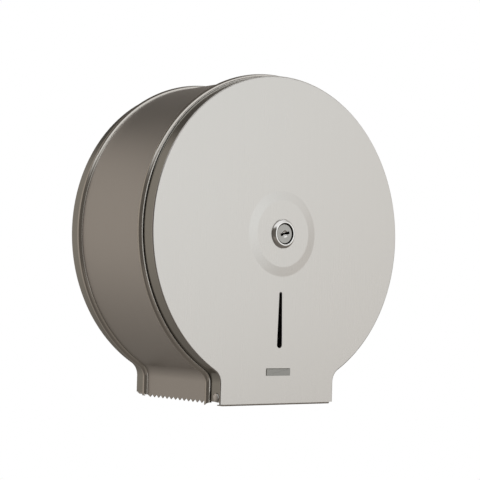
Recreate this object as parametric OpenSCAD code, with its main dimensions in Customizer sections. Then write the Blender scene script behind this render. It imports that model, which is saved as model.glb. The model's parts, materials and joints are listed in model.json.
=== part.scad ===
// Jumbo toilet roll dispenser in stainless steel sheet, fastened to a wall.
// Millimetres. X runs to the right seen from the front, Y into the wall, Z up.
// The origin is on the wall, on the axis of the spindle that carries the roll.

/* [Casing] */
// Radius of the round face
face_r = 134; // [125:0.5:140]
// Distance from the wall to the front face
body_d = 123.4; // [122:0.1:130]
// Width of the neck under the disc
neck_w = 123.5; // [116:0.5:130]
// Radius of the hollow corner between disc and neck
neck_fillet_r = 12.4; // [10:0.1:15]
// Drop from the spindle axis to the end of the neck
neck_drop = 143.2; // [142.5:0.1:148]
// Thickness of the steel sheet
sheet_t = 0.8; // [0.6:0.1:0.9]

/* [Rear casing] */
// Distance of its skirt inside the cover's outline
casing_inset = 0.9; // [0.7:0.1:1.1]
// Depth of its skirt
casing_skirt_d = 12.3; // [11.5:0.1:12.3]
// Radius of its bent edge
casing_bend_r = 2; // [1.5:0.1:3]
// Distance between the wall holes across
wall_hole_x = 120; // [100:1:140]
// Distance between the wall holes up
wall_hole_z = 120; // [100:1:140]
// Radius of a wall hole
wall_hole_r = 3; // [2.5:0.1:3.5]

/* [Side band] */
// Distance of the band inside the cover's outline
band_inset = 0.6; // [0.5:0.1:0.8]
// Outer radius of the half-round beads
bead_r = 3.2; // [3:0.1:3.4]
// Distance from the wall to the rear bead
rear_bead_z = 15.7; // [15.7:0.1:17]
// Distance from the front face back to the front bead
front_bead_back = 16.5; // [16.5:0.1:18]
// Number of gaps between the tear teeth of one edge
tooth_gaps = 13; // [9:1:17]
// Height of a tear tooth
tooth_h = 2.2; // [1.8:0.1:2.4]

/* [Front cover] */
// Depth of its skirt
skirt_d = 12.2; // [11.5:0.1:12.2]
// Radius of its bent edge
cover_bend_r = 1.1; // [1:0.1:2]
// Outer radius of the raised pad round the lock
pad_r = 36.6; // [32:0.1:42]
// Radius of the pad's flat top
pad_top_r = 28; // [24:0.5:30]
// Height of the pad
pad_h = 1.1; // [0.8:0.1:1.3]
// Drop from the lock to the top of the level slot
slot_top = 49.3; // [46:0.1:52]
// Drop from the lock to the bottom of the level slot
slot_bottom = 96.8; // [90:0.1:100]
// Width of the slot at its top
slot_top_w = 3.1; // [2.5:0.1:4]
// Width of the slot at its bottom
slot_bottom_w = 5.6; // [4:0.1:6]
// Width of the blank name plate
badge_w = 26; // [20:0.5:30]
// Height of the blank name plate
badge_h = 6.2; // [5:0.1:7]

/* [Hinge] */
// Drop from the spindle axis to the hinge pins
hinge_drop = 137.7; // [137.4:0.1:138]
// Distance from the front face back to the hinge pins
hinge_back = 5.6; // [5.4:0.1:5.8]
// Radius of a hinge pin
pin_r = 2; // [1.5:0.1:2]

/* [Lock] */
// Outer radius of the bezel
bezel_r = 12.4; // [11.5:0.1:13]
// Height of the bezel above the pad
bezel_h = 3; // [2.5:0.1:3.5]
// Radius of the plug's face
plug_face_r = 8.3; // [7.5:0.1:8.5]
// Length of the keyway
keyway_w = 9.8; // [8:0.1:10.5]
// Turn of the keyway from level, when unlocked
keyway_turn = 14; // [0:1:20]

/* [Spindle] */
// Radius of the hub that carries the roll's core
hub_r = 22; // [21.4:0.1:24]
// Radius of the spindle tube
tube_r = 16; // [15.8:0.1:16.5]
// Radius of the round plate at the foot of the spindle
foot_r = 36; // [34:0.5:40]

/* [Hidden] */
$fn = 96;

// Colours
satin_steel = "#bdbab3";
bright_steel = "#d6d6d4";
chrome = "#e2e2e0";
black_plastic = "#2b2b2c";
white_plastic = "#e6e4dd";
brass_yellow = "#c9a959";

// Outline of disc and neck: centre of the right-hand hollow corner, and the slope of the line to it
corner_x = neck_w / 2 + neck_fillet_r;
corner_y = -sqrt(pow(face_r + neck_fillet_r, 2) - pow(corner_x, 2));
corner_a = atan2(-corner_y, corner_x);
beyond = 400;
lap = 0.04;
lap_a = 0.6;

// Side band, as distances outside the cover's outline and from the wall
cover_gap = 0.6;
front_collar_n = -sheet_t - cover_gap;
rear_collar_n = -casing_inset - sheet_t;
front_bead_n = -0.1;
rear_bead_n = -1;
front_bead_z = body_d - front_bead_back;
front_collar_end = body_d - 3.9;
tuck_end = front_bead_z + 5.7;
tuck_below = -98;
bead_foot = 0.45;

// Ends of the side band at the neck
gullet_r = 1;
tip_y = -neck_drop - 0.3;
teeth_from = rear_bead_z + 7;
teeth_to = front_bead_z - 3.3;
tooth_pitch = (teeth_to - teeth_from) / tooth_gaps;
rear_tip_z = rear_bead_z - 3.8;
bead_tip_z = front_bead_z - 1.3;
bead_tip_y = -neck_drop - 1.3;

// Bottom edges of the two trays, and the place of the bare name plate
skirt_end_y = -neck_drop + 1.85;
casing_end_y = -neck_drop + 3;
casing_skirt_end_y = -neck_drop + 2.9;
flange_half = neck_w / 2 - 3.75;
cover_flange_d = 8.8;
cover_flange_r = 1.5;
skirt_corner_r = 2;
badge_x = -0.7;
badge_y = -116.9;
badge_t = 0.4;
badge_corner = 0.3;

// Hinge
hinge_z = body_d - hinge_back;
skirt_in_x = neck_w / 2 - sheet_t;
lug_out_x = neck_w / 2 - band_inset - sheet_t;
lug_t = 1.2;
lug_nose_r = 4.2;
lug_to_skirt = neck_w / 2 - lug_out_x;
lug_reach = 24;
lug_foot_y = -neck_drop + 1.7;
lug_top_y = -127.5;
washer_t = skirt_in_x - lug_out_x - 0.1;
washer_r = 4;
rivet_head_r = 3.75;
rivet_head_h = 1.5;
rivet_tail_r = 2.9;
rivet_tail_h = 0.9;
rivet_play = 0.05;

// Lock, as distances from the wall
pad_z = body_d + pad_h;
lock_front = pad_z + bezel_h;
pad_ease = 0.6;
bezel_side_h = 0.7;
barrel_r = 9.5;
barrel_rear = pad_z - 19;
plug_r = 6.5;
face_play = 0.15;
face_t = 4.9;
plug_rear = barrel_rear - 0.5;
cam_t = 2;
cam_reach = 16.5;
cam_w = 8;
cam_hub_r = 7.2;
stub_w = 7;
cam_washer_t = 0.8;
cam_screw_r = 2;
cam_thread_r = 1.7;
wafer_n = 5;
wafer_pitch = 2.2;
wafer_t = 0.8;
nut_t = 3.6;
lock_washer_t = 0.9;
lock_washer_r = 13;
nut_r = 13.5;
keyway_h = 2;

// Spindle, as distances from the wall
flange_t = 2;
tube_t = 1.5;
collar_end = 9;
cup_from = body_d - 25.4;
cup_d = 10;
cup_r = 21;
cup_floor = 1.5;
cup_boss = 9;
keeper_t = 1.2;
keeper_r = cup_r - 1.6;
keeper_front = cup_from + cup_d;
hub_from = 9.8;
hub_to = cup_from - 0.8;
bush_r = 18.5;
bush_len = 8;
bush_play = 0.05;
hub_flange_r = hub_r + 9;
hub_flange_t = 2;
rivet_circle_r = 27.5;
keeper_screw_x = 9.5;
keeper_screw_y = -15.2;
keeper_screw_r = 0.9;

// Stands a shape up that is drawn lying, with z as its distance from the wall.
module from_wall() {
    rotate([90, 0, 0]) children();
}

// Ring drawn lying, between two distances from the wall.
module ring(outer, inner, from, to) {
    translate([0, 0, from])
        linear_extrude(to - from)
            difference() {
                circle(outer);
                circle(inner);
            }
}

// Flat outline of the disc and its neck, grown outwards by n.
module outline(n, end_y) {
    circle(face_r + n);
    difference() {
        polygon([[0, 0], [corner_x, corner_y], [-corner_x, corner_y]]);
        for (side = [-1, 1])
            translate([side * corner_x, corner_y]) circle(neck_fillet_r - n);
    }
    translate([-neck_w / 2 - n, end_y])
        square([neck_w + 2 * n, corner_y - end_y + neck_fillet_r / 2]);
}

// Sweeps a section round the disc, the hollow corners and both sides of the neck. Its x is the
// distance outside the cover's outline, and its y the distance from the wall. The second child
// is the section for the hollow corners, which laps over the ends of its neighbours.
module swept(end_y) {
    rotate([0, 0, -corner_a])
        rotate_extrude(angle = 180 + 2 * corner_a) translate([face_r, 0]) children(0);
    for (side = [0, 1])
        mirror([side, 0, 0]) {
            translate([corner_x, corner_y, 0])
                rotate([0, 0, 180 - corner_a - lap_a])
                    rotate_extrude(angle = corner_a + 2 * lap_a)
                        translate([neck_fillet_r, 0]) mirror([1, 0]) children(1);
            translate([neck_w / 2, corner_y, 0])
                rotate([90, 0, 0]) linear_extrude(corner_y - end_y) children(0);
        }
}

// Upright wall of sheet along the outline, open under the neck.
module wall(n, from, to, end_y) {
    translate([0, 0, from]) linear_extrude(to - from) difference() {
        outline(n, end_y);
        outline(n - sheet_t, end_y - 5);
    }
}

// Section of what is cut off a square edge to round it.
module edge_waste(bend_r, short) {
    translate([-bend_r, bend_r]) difference() {
        translate([0, -bend_r - 1]) square(bend_r + 1);
        circle(bend_r + short);
    }
}

// Flange under the neck: a quarter bend down out of the plate, and a flat strip.
module bottom_flange(bend_r, depth, plate_end_y) {
    translate([0, plate_end_y - bend_r, 0])
        rotate([90, 0, -90])
            linear_extrude(2 * flange_half, center = true) {
                translate([-bend_r, bend_r]) intersection() {
                    difference() {
                        circle(bend_r);
                        circle(bend_r - sheet_t);
                    }
                    translate([0, -bend_r]) square(bend_r);
                }
                translate([-bend_r - 1, 0]) square([1, sheet_t]);
                translate([-sheet_t, bend_r]) square([sheet_t, depth - bend_r]);
            }
}

// Tray pressed from sheet: plate, rounded edge and skirt, and a flange under the neck.
module tray(n, bend_r, depth, plate_end_y, skirt_end, flange_r, flange_d) {
    difference() {
        linear_extrude(depth) outline(n, plate_end_y);
        translate([0, 0, sheet_t]) linear_extrude(depth) outline(n - sheet_t, plate_end_y - 5);
        translate([-beyond / 2, skirt_end - beyond, bend_r]) cube(beyond);
        swept(plate_end_y - 1) {
            translate([n, 0]) edge_waste(bend_r, 0);
            translate([n, 0]) edge_waste(bend_r, lap / 2);
        }
    }
    bottom_flange(flange_r, flange_d, plate_end_y);
}

module rear_casing() {
    color(satin_steel) from_wall() difference() {
        tray(-casing_inset, casing_bend_r, casing_skirt_d, casing_end_y,
             casing_skirt_end_y, casing_bend_r, casing_skirt_d);
        for (x = [-1, 1], y = [-1, 1])
            translate([x * wall_hole_x / 2, y * wall_hole_z / 2, -1]) cylinder(r = wall_hole_r, h = 3);
        spindle_rivet_places() translate([0, 0, -1]) cylinder(r = pin_r, h = 3);
    }
}

// One bead's section, open inwards. Its sheet reaches in to n_rear on its wall side and to
// n_front on its face side, and is thicker by grow on both faces.
module bead_section(n_rear, n_front, grow) {
    difference() {
        circle(bead_r + grow);
        circle(bead_r - sheet_t - grow);
        translate([n_rear - grow - beyond, -beyond]) square(beyond);
        translate([n_front - grow - beyond, 0]) square(beyond);
    }
}

// One bead along the whole strip, at bead_n outside the outline and bead_z from the wall.
// The sheets on its two sides have their outer faces at rear_n and front_n.
module bead(bead_n, bead_z, rear_n, front_n) {
    inner = -sheet_t / 2 - bead_n;
    swept(bead_tip_y) {
        translate([bead_n, bead_z]) bead_section(rear_n + inner, front_n + inner, 0);
        translate([bead_n, bead_z]) bead_section(rear_n + inner, front_n + inner, lap);
    }
}

// The whole strip: rear collar, bead, band, bead and front collar.
module strip() {
    foot = bead_r - bead_foot;
    wall(rear_collar_n, casing_bend_r + 0.1, rear_bead_z - foot, bead_tip_y);
    bead(rear_bead_n, rear_bead_z, rear_collar_n, -band_inset);
    wall(-band_inset, rear_bead_z + foot, front_bead_z - foot, bead_tip_y);
    bead(front_bead_n, front_bead_z, -band_inset, front_collar_n);
    wall(front_collar_n, front_bead_z + foot - 0.65, front_collar_end, bead_tip_y);
}

// Half of one gap between two teeth: the point where its straight side meets the round gullet.
function gullet_touch(pitch) =
    let (dx = pitch / 2, dy = -(tooth_h - gullet_r), far = norm([dx, dy]))
    let (a = atan2(dy, dx) + acos(gullet_r / far))
    [gullet_r * cos(a), gullet_r * sin(a) - gullet_r];

// One gap between two teeth, hanging from its top at the origin. Its x is along the edge.
module tooth_gap(pitch) {
    touch = gullet_touch(pitch);
    translate([0, -gullet_r]) circle(gullet_r);
    polygon([
        [-pitch / 2, -tooth_h], [-touch[0], touch[1]], [touch[0], touch[1]],
        [pitch / 2, -tooth_h], [pitch / 2, -beyond / 10], [-pitch / 2, -beyond / 10]
    ]);
}

// All that is cut from the lower end of the strip, with x as the distance from the wall.
module strip_end_cut() {
    gullet_y = tip_y + tooth_h;
    for (i = [0 : tooth_gaps - 1])
        translate([teeth_from + (i + 0.5) * tooth_pitch, gullet_y]) tooth_gap(tooth_pitch);
    scallop = teeth_from - rear_tip_z;
    translate([rear_tip_z + scallop / 2, gullet_y + 0.2]) tooth_gap(scallop);
    polygon([
        [-1, casing_end_y - 1], [rear_tip_z - 2, casing_end_y - 1], [rear_tip_z, tip_y + 0.2],
        [rear_tip_z, -beyond / 2], [-1, -beyond / 2]
    ]);
    polygon([
        [teeth_to, tip_y], [bead_tip_z, bead_tip_y], [tuck_end - 1, skirt_end_y - 0.3],
        [body_d, skirt_end_y - 0.3], [body_d, -beyond / 2], [teeth_to, -beyond / 2]
    ]);
}

module side_band() {
    color(satin_steel) from_wall() difference() {
        strip();
        rotate([0, -90, 0]) linear_extrude(beyond, center = true) strip_end_cut();
        translate([-beyond / 2, tuck_below - beyond, tuck_end]) cube(beyond);
        translate([-lug_out_x, lug_top_y + 1 - beyond, front_bead_z]) cube([2 * lug_out_x, beyond, 20]);
    }
}

// Plate with a round nose on the hinge axis, welded to the inside of the neck.
module hinge_lug() {
    translate([0, -hinge_drop, hinge_z]) rotate([0, 90, 0]) difference() {
        union() {
            cylinder(r = lug_nose_r, h = lug_t);
            linear_extrude(lug_t) polygon([
                [0, lug_nose_r], [lug_reach, lug_top_y + hinge_drop],
                [lug_reach, lug_foot_y + hinge_drop], [0, lug_foot_y + hinge_drop]
            ]);
        }
        translate([0, 0, -1]) cylinder(r = pin_r, h = lug_t + 2);
    }
}

module hinge_lug_left() {
    color(bright_steel) from_wall() translate([-lug_out_x, 0, 0]) hinge_lug();
}

module hinge_lug_right() {
    color(bright_steel) from_wall() translate([lug_out_x - lug_t, 0, 0]) hinge_lug();
}

// Rivet drawn along z from the inner face of the lug outwards, with a domed head outside.
module hinge_rivet() {
    head_from = lug_t + lug_to_skirt + rivet_play;
    ball_r = (pow(rivet_head_r, 2) + pow(rivet_head_h, 2)) / (2 * rivet_head_h);
    translate([0, 0, -rivet_tail_h]) cylinder(r = rivet_tail_r, h = rivet_tail_h);
    cylinder(r = pin_r, h = head_from + 0.1);
    intersection() {
        translate([0, 0, head_from + rivet_head_h - ball_r]) sphere(ball_r);
        translate([0, 0, head_from]) cylinder(r = rivet_head_r, h = rivet_head_h + 1);
    }
}

module hinge_rivet_left() {
    color(bright_steel) from_wall()
        translate([-lug_out_x + lug_t, -hinge_drop, hinge_z]) rotate([0, -90, 0]) hinge_rivet();
}

module hinge_rivet_right() {
    color(bright_steel) from_wall()
        translate([lug_out_x - lug_t, -hinge_drop, hinge_z]) rotate([0, 90, 0]) hinge_rivet();
}

// Washer drawn along z from the outer face of the lug outwards.
module hinge_washer() {
    ring(washer_r, pin_r, 0, washer_t);
}

module hinge_washer_left() {
    color(white_plastic) from_wall()
        translate([-lug_out_x, -hinge_drop, hinge_z]) rotate([0, -90, 0]) hinge_washer();
}

module hinge_washer_right() {
    color(white_plastic) from_wall()
        translate([lug_out_x, -hinge_drop, hinge_z]) rotate([0, 90, 0]) hinge_washer();
}

// The four rivets round the foot of the spindle.
module spindle_rivet_places() {
    for (a = [45 : 90 : 315])
        rotate([0, 0, a]) translate([rivet_circle_r, 0, 0]) children();
}

module spindle_flange() {
    color(bright_steel) from_wall() difference() {
        union() {
            translate([0, 0, sheet_t]) cylinder(r = foot_r, h = flange_t);
            translate([0, 0, sheet_t]) cylinder(r = bush_r - 0.7, h = collar_end - sheet_t);
        }
        translate([0, 0, sheet_t + flange_t]) cylinder(r = tube_r, h = collar_end);
        cylinder(r = tube_r - 4, h = collar_end);
        spindle_rivet_places() cylinder(r = pin_r, h = collar_end);
    }
}

module spindle_rivets() {
    color(bright_steel) from_wall() spindle_rivet_places() {
        translate([0, 0, 0.05]) cylinder(r = pin_r, h = sheet_t + flange_t);
        translate([0, 0, sheet_t + flange_t]) cylinder(r1 = 3.6, r2 = 2.4, h = 1.3);
    }
}

module spindle_tube() {
    color(bright_steel) from_wall() ring(tube_r, tube_r - tube_t, sheet_t + flange_t, cup_from);
}

module hub_thrust_washer() {
    color(white_plastic) from_wall() ring(bush_r + 2.3, tube_r, collar_end, hub_from - 0.1);
}

module keeper_cup() {
    color(black_plastic) from_wall() difference() {
        union() {
            translate([0, 0, cup_from]) cylinder(r = cup_r, h = cup_d);
            translate([0, 0, cup_from - cup_boss]) cylinder(r = tube_r - tube_t, h = cup_boss);
        }
        translate([0, 0, cup_from + cup_floor]) cylinder(r = cam_reach + 1.5, h = cup_d);
        translate([0, 0, keeper_front - keeper_t]) cylinder(r = keeper_r, h = cup_d);
        translate([0, 0, cup_from - 10]) cylinder(r = barrel_r, h = 20);
        for (side = [-1, 1])
            keeper_screw_place(side) translate([0, 0, -5]) cylinder(r = keeper_screw_r, h = 8);
    }
    color(black_plastic) from_wall() for (side = [-1, 1]) keeper_screw_place(side) keeper_post();
}

// Boss inside the cup, from its floor to the keeper plate, with the screw's hole.
module keeper_post() {
    depth = cup_d - keeper_t - cup_floor;
    translate([0, 0, -depth]) ring(2.4, keeper_screw_r, 0, depth);
}

// Place of a keeper screw, at the back of the keeper plate.
module keeper_screw_place(side) {
    translate([side * keeper_screw_x, keeper_screw_y, keeper_front - keeper_t]) children();
}

module keeper_plate() {
    color(bright_steel) from_wall() translate([0, 0, keeper_front - keeper_t])
        linear_extrude(keeper_t) difference() {
            circle(keeper_r);
            circle(barrel_r + 1.5);
            translate([-cam_w / 2 - 1.2, 0]) square([cam_w + 2.4, cam_reach + 1.4]);
            for (side = [-1, 1])
                translate([side * keeper_screw_x, keeper_screw_y]) circle(keeper_screw_r + 0.1);
        }
}

module keeper_screws() {
    color(bright_steel) from_wall() for (side = [-1, 1]) keeper_screw_place(side) {
        translate([0, 0, -4.5]) cylinder(r = keeper_screw_r, h = 4.6 + keeper_t);
        translate([0, 0, keeper_t]) cylinder(r1 = 2.1, r2 = 1.5, h = 1.1);
    }
}

// Slot that widens downwards, with round ends.
module level_slot() {
    r1 = slot_top_w / 2;
    r2 = slot_bottom_w / 2;
    y1 = -slot_top - r1;
    y2 = -slot_bottom + r2;
    a = asin((r2 - r1) / (y1 - y2));
    translate([0, y1]) circle(r1);
    translate([0, y2]) circle(r2);
    polygon([
        [-r1 * cos(a), y1 + r1 * sin(a)], [r1 * cos(a), y1 + r1 * sin(a)],
        [r2 * cos(a), y2 + r2 * sin(a)], [-r2 * cos(a), y2 + r2 * sin(a)]
    ]);
}

// Raised pad, drawn with the plate's front surface at z = 0 and the front downwards.
module raised_pad() {
    ease_h = pad_ease * pad_h / (pad_r - pad_top_r) / 2;
    front = [
        [pad_r, 0], [pad_r - pad_ease, -ease_h], [pad_top_r + pad_ease, ease_h - pad_h],
        [pad_top_r, -pad_h], [barrel_r + 0.1, -pad_h]
    ];
    back = [for (i = [len(front) - 1 : -1 : 0]) [front[i][0], front[i][1] + sheet_t]];
    rotate_extrude() polygon(concat(front, back));
}

// Waste at the rear lower corner of a cover skirt, with x as the distance from the face.
module skirt_corner_waste() {
    translate([skirt_d - skirt_corner_r, skirt_end_y]) difference() {
        translate([0, -1]) square([skirt_corner_r + 1, skirt_corner_r + 1]);
        translate([0, skirt_corner_r]) circle(skirt_corner_r);
    }
}

module front_cover() {
    color(satin_steel) from_wall() translate([0, 0, body_d]) mirror([0, 0, 1]) {
        difference() {
            tray(0, cover_bend_r, skirt_d, -neck_drop, skirt_end_y, cover_flange_r, cover_flange_d);
            translate([0, 0, -1]) cylinder(r = pad_r, h = 3);
            translate([0, 0, -1]) linear_extrude(3) level_slot();
            rotate([0, -90, 0]) linear_extrude(beyond, center = true) skirt_corner_waste();
            translate([0, -hinge_drop, hinge_back]) rotate([0, 90, 0])
                cylinder(r = pin_r + bush_play, h = beyond, center = true);
        }
        raised_pad();
    }
}

module badge_plate() {
    color(bright_steel) from_wall() translate([badge_x, badge_y, body_d])
        linear_extrude(badge_t) difference() {
            square([badge_w, badge_h], center = true);
            for (x = [-1, 1], y = [-1, 1])
                translate([x * badge_w / 2, y * badge_h / 2]) rotate(45)
                    square(badge_corner * sqrt(2), center = true);
        }
}

// Half section of the bezel, with x as the radius and y as the height above the pad.
module bezel_section() {
    rim_r = plug_face_r + 1.1;
    steps = 6;
    slope = [for (i = [0 : steps])
        [bezel_r + (rim_r - bezel_r) * i / steps,
         bezel_side_h + (bezel_h - bezel_side_h) * pow(i / steps, 0.7)]];
    polygon(concat(slope, [[plug_face_r + face_play, bezel_h], [plug_face_r + face_play, 0], [bezel_r, 0]]));
}

module lock_barrel() {
    color(chrome) from_wall() {
        translate([0, 0, pad_z]) rotate_extrude() bezel_section();
        difference() {
            translate([0, 0, barrel_rear]) cylinder(r = barrel_r, h = pad_z - barrel_rear + 0.5);
            translate([0, 0, barrel_rear - 1]) cylinder(r = plug_r + bush_play, h = 40);
            translate([0, 0, pad_z - 2]) cylinder(r = plug_face_r + face_play, h = 10);
        }
    }
}

module lock_washer() {
    color(bright_steel) from_wall()
        ring(lock_washer_r, barrel_r, pad_z - sheet_t - lock_washer_t, pad_z - sheet_t);
}

module lock_nut() {
    color(brass_yellow) from_wall()
        translate([0, 0, pad_z - sheet_t - lock_washer_t - nut_t]) linear_extrude(nut_t) difference() {
            circle(nut_r, $fn = 6);
            circle(barrel_r);
        }
}

// Keyway, level slot through the plug's face and along its body.
module keyway(from, to, w) {
    rotate([0, 0, keyway_turn]) translate([-w / 2, -keyway_h / 2, from]) cube([w, keyway_h, to - from]);
}

// Places of the wafers along the plug.
module wafer_places() {
    for (i = [0 : wafer_n - 1])
        translate([0, 0, pad_z - 6 - i * wafer_pitch]) rotate([0, 0, keyway_turn]) children();
}

module lock_plug() {
    color(chrome) from_wall() difference() {
        union() {
            translate([0, 0, lock_front - face_t]) cylinder(r = plug_face_r, h = face_t - 0.5);
            translate([0, 0, plug_rear]) cylinder(r = plug_r, h = pad_z - plug_rear - 1);
            translate([-stub_w / 2, -stub_w / 2, plug_rear - cam_t]) cube([stub_w, stub_w, cam_t + 1]);
        }
        translate([0, 0, lock_front - 1.5]) cylinder(r1 = 2, r2 = 2.8, h = 1.1);
        keyway(lock_front - 3.2, lock_front + 1, keyway_w);
        keyway(plug_rear + 4, lock_front - 3, 8);
        wafer_places() translate([-5.2, -3.1, -0.5]) cube([10.4, 6.2, 1]);
        translate([0, 0, plug_rear - cam_t - 1]) cylinder(r = cam_thread_r, h = 4.4 + cam_t);
    }
}

module lock_wafers() {
    color(brass_yellow) from_wall() wafer_places()
        translate([0, 0, -wafer_t / 2]) linear_extrude(wafer_t) difference() {
            square([9.4, 5.8], center = true);
            square([6, 2.6], center = true);
        }
}

module lock_cam() {
    color(bright_steel) from_wall() translate([0, 0, plug_rear - cam_t])
        linear_extrude(cam_t) difference() {
            union() {
                circle(cam_hub_r);
                translate([-cam_w / 2, 0]) square([cam_w, cam_reach - 2]);
                translate([0, cam_reach - cam_w / 2]) circle(cam_w / 2);
            }
            square(stub_w, center = true);
        }
}

module cam_washer() {
    color(bright_steel) from_wall()
        ring(5.5, cam_screw_r, plug_rear - cam_t - cam_washer_t, plug_rear - cam_t);
}

module cam_screw() {
    back = plug_rear - cam_t - cam_washer_t;
    color(bright_steel) from_wall() difference() {
        union() {
            translate([0, 0, back - 1.4]) cylinder(r1 = 2.6, r2 = 3.4, h = 1.4);
            translate([0, 0, back]) cylinder(r = cam_thread_r, h = 5);
        }
        translate([-0.4, -5, back - 2]) cube([0.8, 10, 1.2]);
    }
}

module core_hub() {
    color(white_plastic) from_wall() difference() {
        union() {
            translate([0, 0, hub_from]) cylinder(r = hub_r, h = hub_to - hub_from - 2);
            translate([0, 0, hub_to - 2]) cylinder(r1 = hub_r, r2 = hub_r - 1.2, h = 2);
            translate([0, 0, hub_from]) cylinder(r = hub_flange_r, h = hub_flange_t);
        }
        translate([0, 0, hub_from - 1]) cylinder(r = bush_r, h = beyond);
    }
    color(white_plastic) from_wall()
        ring(bush_r + 0.1, bush_r - 1, hub_from + bush_len, hub_to - bush_len);
}

module hub_bush_rear() {
    color(black_plastic) from_wall()
        ring(bush_r, tube_r + bush_play, hub_from, hub_from + bush_len);
}

module hub_bush_front() {
    color(black_plastic) from_wall()
        ring(bush_r, tube_r + bush_play, hub_to - bush_len, hub_to);
}

rear_casing();
side_band();
hinge_lug_left();
hinge_lug_right();
hinge_rivet_left();
hinge_rivet_right();
hinge_washer_left();
hinge_washer_right();
spindle_flange();
spindle_rivets();
spindle_tube();
hub_thrust_washer();
keeper_cup();
keeper_plate();
keeper_screws();
front_cover();
badge_plate();
lock_barrel();
lock_washer();
lock_nut();
lock_plug();
lock_wafers();
lock_cam();
cam_washer();
cam_screw();
core_hub();
hub_bush_rear();
hub_bush_front();
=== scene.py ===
"""Looks of a jumbo toilet roll dispenser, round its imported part. Metres, in the part's own frame."""

import json
import math

import bmesh
import bpy
from mathutils import Matrix, Vector

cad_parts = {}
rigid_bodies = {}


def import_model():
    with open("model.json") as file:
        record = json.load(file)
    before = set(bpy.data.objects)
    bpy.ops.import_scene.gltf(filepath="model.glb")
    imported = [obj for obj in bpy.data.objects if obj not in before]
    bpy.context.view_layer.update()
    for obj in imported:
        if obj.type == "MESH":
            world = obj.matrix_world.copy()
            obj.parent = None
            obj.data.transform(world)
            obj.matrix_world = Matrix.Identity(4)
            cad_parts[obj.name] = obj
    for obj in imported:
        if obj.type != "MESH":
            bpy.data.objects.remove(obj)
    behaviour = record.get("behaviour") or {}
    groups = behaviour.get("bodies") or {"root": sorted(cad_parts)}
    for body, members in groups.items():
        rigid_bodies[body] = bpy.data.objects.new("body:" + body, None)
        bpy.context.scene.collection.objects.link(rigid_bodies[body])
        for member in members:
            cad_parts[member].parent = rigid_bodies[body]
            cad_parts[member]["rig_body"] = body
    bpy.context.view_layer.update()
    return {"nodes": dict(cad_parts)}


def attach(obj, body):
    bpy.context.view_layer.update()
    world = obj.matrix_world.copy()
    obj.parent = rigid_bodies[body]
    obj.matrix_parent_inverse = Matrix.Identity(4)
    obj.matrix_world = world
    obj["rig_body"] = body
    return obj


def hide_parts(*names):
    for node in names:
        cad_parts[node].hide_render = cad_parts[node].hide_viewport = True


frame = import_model()

MM = 0.001
PLATE = 0.8 * MM
TOUCHING = 0.001 * MM

# Outline of disc and neck, as in the part's source. The hollow corners lie between disc and neck.
DISC_R = 134 * MM
HOLLOW_R = 12.4 * MM
HOLLOW = Vector((74.15, 0, -126.2332)) * MM
HOLLOW_TURN = math.atan2(-HOLLOW.z, HOLLOW.x)
DISC_TURN = math.pi / 2 + HOLLOW_TURN

# The face's distance from the wall, in mm as in the sections, and half the flanges' width.
FACE_D = 123.4
FLANGE_HALF = 58 * MM


# Shader nodes.


class Wire:
    """A socket in a finish. Plain arithmetic on it adds the Math nodes."""

    def __init__(self, finish, socket):
        self.finish, self.socket = finish, socket

    def math(self, operation, *values):
        return self.finish.node("ShaderNodeMath", {"operation": operation}, dict(enumerate(values)))

    def __add__(self, other):
        return self.math("ADD", self, other)

    __radd__ = __add__

    def __mul__(self, other):
        return self.math("MULTIPLY", self, other)

    __rmul__ = __mul__

    def __sub__(self, other):
        return self.math("SUBTRACT", self, other)

    def __rsub__(self, other):
        return self.math("SUBTRACT", other, self)

    def __pow__(self, other):
        return self.math("POWER", self, other)

    def above(self, low, high):
        """0 below low, 1 above high, and a smooth rise between them."""
        return self.finish.node(
            "ShaderNodeMapRange",
            {"interpolation_type": "SMOOTHSTEP"},
            {"Value": self, "From Min": low, "From Max": high, "To Min": 0.0, "To Max": 1.0},
        )

    def between(self, low, high, soft):
        """1 from low to high and 0 outside them, with soft ends inside."""
        return self.above(low, low + soft) - self.above(high - soft, high)


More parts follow.
